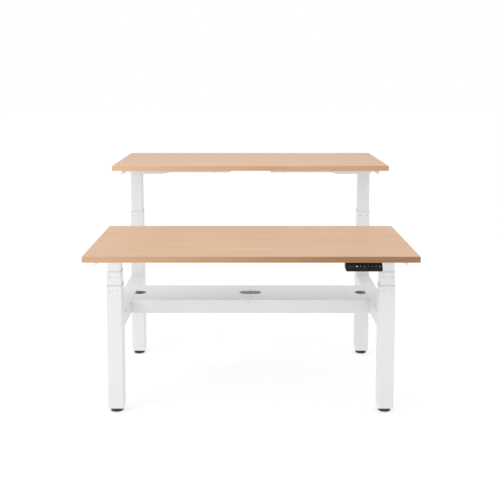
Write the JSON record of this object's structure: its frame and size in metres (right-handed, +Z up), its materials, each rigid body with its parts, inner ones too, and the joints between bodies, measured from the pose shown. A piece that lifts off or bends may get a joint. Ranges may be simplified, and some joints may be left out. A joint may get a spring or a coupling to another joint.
{
  "type": "height adjustable standing desk",
  "caption": "Back-to-back sit-stand bench: rectangular beech tops on telescopic columns, joined by end beams and a lidded cable trough.",
  "frame": {"origin": "on the floor at the middle of the bench", "axes": "+X along the width of the tops, +Y from the front desk's user toward the back desk, +Z up"},
  "size_m": [1.4, 1.5, 1.088],
  "materials": {
    "white_steel": "fine-textured white powder coat",
    "white_plastic": "satin moulded plastic",
    "beech_top": "beech laminate on board, plastic edge band",
    "black_plastic": "fine-textured moulded plastic",
    "display_black": "glossy tinted window",
    "glide_plastic": "low-friction moulded plastic",
    "foot_rubber": "hard moulded pad on a steel screw",
    "screw_steel": "zinc-plated",
    "drive_steel": "rolled thread, greased",
    "motor_metal": "die-cast housing",
    "nut_bronze": "turned",
    "box_plastic": "moulded housing"
  },
  "bodies": {
    "base": {"front_left_outer_tube": "white_steel", "front_right_outer_tube": "white_steel", "back_left_outer_tube": "white_steel", "back_right_outer_tube": "white_steel", "foot_caps": "white_plastic", "outer_glides": "glide_plastic", "end_beams": "white_steel", "cable_trough": "white_steel", "lower_screws": "drive_steel", "frame_screws": "screw_steel"},
    "left_lid": {"left_lid": "white_steel"},
    "right_lid": {"right_lid": "white_steel"},
    "front_middle": {"front_middle_tubes": "white_steel", "front_middle_glides": "glide_plastic"},
    "front_top": {"front_desktop": "beech_top", "front_inner_tubes": "white_steel", "front_column_heads": "white_steel", "front_side_arms": "white_steel", "front_crossbar_sleeves": "white_steel", "front_crossbar_rail": "white_steel", "front_motors": "motor_metal", "front_lift_nuts": "nut_bronze", "front_control_box": "box_plastic", "front_handset": "black_plastic", "front_display": "display_black", "front_screws": "screw_steel"},
    "front_left_nut_tube": {"front_left_nut_tube": "drive_steel"},
    "front_left_foot": {"front_left_foot": "foot_rubber"},
    "front_right_nut_tube": {"front_right_nut_tube": "drive_steel"},
    "front_right_foot": {"front_right_foot": "foot_rubber"},
    "front_down_button": {"front_down_button": "black_plastic"},
    "front_up_button": {"front_up_button": "black_plastic"},
    "front_memory_1_button": {"front_memory_1_button": "black_plastic"},
    "front_memory_2_button": {"front_memory_2_button": "black_plastic"},
    "front_memory_3_button": {"front_memory_3_button": "black_plastic"},
    "front_store_button": {"front_store_button": "black_plastic"},
    "back_middle": {"back_middle_tubes": "white_steel", "back_middle_glides": "glide_plastic"},
    "back_top": {"back_desktop": "beech_top", "back_inner_tubes": "white_steel", "back_column_heads": "white_steel", "back_side_arms": "white_steel", "back_crossbar_sleeves": "white_steel", "back_crossbar_rail": "white_steel", "back_motors": "motor_metal", "back_lift_nuts": "nut_bronze", "back_control_box": "box_plastic", "back_handset": "black_plastic", "back_display": "display_black", "back_screws": "screw_steel"},
    "back_left_nut_tube": {"back_left_nut_tube": "drive_steel"},
    "back_left_foot": {"back_left_foot": "foot_rubber"},
    "back_right_nut_tube": {"back_right_nut_tube": "drive_steel"},
    "back_right_foot": {"back_right_foot": "foot_rubber"},
    "back_down_button": {"back_down_button": "black_plastic"},
    "back_up_button": {"back_up_button": "black_plastic"},
    "back_memory_1_button": {"back_memory_1_button": "black_plastic"},
    "back_memory_2_button": {"back_memory_2_button": "black_plastic"},
    "back_memory_3_button": {"back_memory_3_button": "black_plastic"},
    "back_store_button": {"back_store_button": "black_plastic"}
  },
  "joints": [
    {"name": "left_lid_lift", "type": "slide", "parent": "base", "child": "left_lid", "axis": [0, 0, 1], "range_m": [0, 0.15]},
    {"name": "right_lid_lift", "type": "slide", "parent": "base", "child": "right_lid", "axis": [0, 0, 1], "range_m": [0, 0.15]},
    {"name": "front_lift", "type": "slide", "parent": "base", "child": "front_top", "axis": [0, 0, 1], "range_m": [-0.12, 0.48]},
    {"name": "front_middle_slide", "type": "slide", "parent": "base", "child": "front_middle", "axis": [0, 0, 1], "range_m": [-0.06, 0.24]},
    {"name": "front_left_screw_turn", "type": "hinge", "parent": "front_middle", "child": "front_left_nut_tube", "pos_m": [-0.62, -0.4, 0.3], "axis": [0, 0, 1], "range_deg": [-2701, 10801]},
    {"name": "front_left_levelling", "type": "slide", "parent": "base", "child": "front_left_foot", "axis": [0, 0, -1], "range_m": [0, 0.012]},
    {"name": "front_right_screw_turn", "type": "hinge", "parent": "front_middle", "child": "front_right_nut_tube", "pos_m": [0.62, -0.4, 0.3], "axis": [0, 0, 1], "range_deg": [-2701, 10801]},
    {"name": "front_right_levelling", "type": "slide", "parent": "base", "child": "front_right_foot", "axis": [0, 0, -1], "range_m": [0, 0.012]},
    {"name": "front_down_press", "type": "slide", "parent": "front_top", "child": "front_down_button", "axis": [0, 0.7625, -0.647], "range_m": [0, 0.001], "stiffness_N_per_m": 800, "springref_m": -0.001},
    {"name": "front_up_press", "type": "slide", "parent": "front_top", "child": "front_up_button", "axis": [0, 0.7625, -0.647], "range_m": [0, 0.001], "stiffness_N_per_m": 800, "springref_m": -0.001},
    {"name": "front_memory_1_press", "type": "slide", "parent": "front_top", "child": "front_memory_1_button", "axis": [0, 0.7625, -0.647], "range_m": [0, 0.001], "stiffness_N_per_m": 800, "springref_m": -0.001},
    {"name": "front_memory_2_press", "type": "slide", "parent": "front_top", "child": "front_memory_2_button", "axis": [0, 0.7625, -0.647], "range_m": [0, 0.001], "stiffness_N_per_m": 800, "springref_m": -0.001},
    {"name": "front_memory_3_press", "type": "slide", "parent": "front_top", "child": "front_memory_3_button", "axis": [0, 0.7625, -0.647], "range_m": [0, 0.001], "stiffness_N_per_m": 800, "springref_m": -0.001},
    {"name": "front_store_press", "type": "slide", "parent": "front_top", "child": "front_store_button", "axis": [0, 0.7625, -0.647], "range_m": [0, 0.001], "stiffness_N_per_m": 800, "springref_m": -0.001},
    {"name": "back_lift", "type": "slide", "parent": "base", "child": "back_top", "axis": [0, 0, 1], "range_m": [-0.408, 0.192]},
    {"name": "back_middle_slide", "type": "slide", "parent": "base", "child": "back_middle", "axis": [0, 0, 1], "range_m": [-0.204, 0.096]},
    {"name": "back_left_screw_turn", "type": "hinge", "parent": "back_middle", "child": "back_left_nut_tube", "pos_m": [-0.62, 0.4, 0.3], "axis": [0, 0, 1], "range_deg": [-9181, 4321]},
    {"name": "back_left_levelling", "type": "slide", "parent": "base", "child": "back_left_foot", "axis": [0, 0, -1], "range_m": [0, 0.012]},
    {"name": "back_right_screw_turn", "type": "hinge", "parent": "back_middle", "child": "back_right_nut_tube", "pos_m": [0.62, 0.4, 0.3], "axis": [0, 0, 1], "range_deg": [-9181, 4321]},
    {"name": "back_right_levelling", "type": "slide", "parent": "base", "child": "back_right_foot", "axis": [0, 0, -1], "range_m": [0, 0.012]},
    {"name": "back_down_press", "type": "slide", "parent": "back_top", "child": "back_down_button", "axis": [0, -0.7625, -0.647], "range_m": [0, 0.001], "stiffness_N_per_m": 800, "springref_m": -0.001},
    {"name": "back_up_press", "type": "slide", "parent": "back_top", "child": "back_up_button", "axis": [0, -0.7625, -0.647], "range_m": [0, 0.001], "stiffness_N_per_m": 800, "springref_m": -0.001},
    {"name": "back_memory_1_press", "type": "slide", "parent": "back_top", "child": "back_memory_1_button", "axis": [0, -0.7625, -0.647], "range_m": [0, 0.001], "stiffness_N_per_m": 800, "springref_m": -0.001},
    {"name": "back_memory_2_press", "type": "slide", "parent": "back_top", "child": "back_memory_2_button", "axis": [0, -0.7625, -0.647], "range_m": [0, 0.001], "stiffness_N_per_m": 800, "springref_m": -0.001},
    {"name": "back_memory_3_press", "type": "slide", "parent": "back_top", "child": "back_memory_3_button", "axis": [0, -0.7625, -0.647], "range_m": [0, 0.001], "stiffness_N_per_m": 800, "springref_m": -0.001},
    {"name": "back_store_press", "type": "slide", "parent": "back_top", "child": "back_store_button", "axis": [0, -0.7625, -0.647], "range_m": [0, 0.001], "stiffness_N_per_m": 800, "springref_m": -0.001}
  ],
  "couplings": [
    {"joint": "front_middle_slide", "follows": "front_lift", "ratio": 0.5},
    {"joint": "front_left_screw_turn", "follows": "front_lift", "rad_per_m": 392.7},
    {"joint": "front_right_screw_turn", "follows": "front_lift", "rad_per_m": 392.7},
    {"joint": "back_middle_slide", "follows": "back_lift", "ratio": 0.5},
    {"joint": "back_left_screw_turn", "follows": "back_lift", "rad_per_m": 392.7},
    {"joint": "back_right_screw_turn", "follows": "back_lift", "rad_per_m": 392.7}
  ]
}
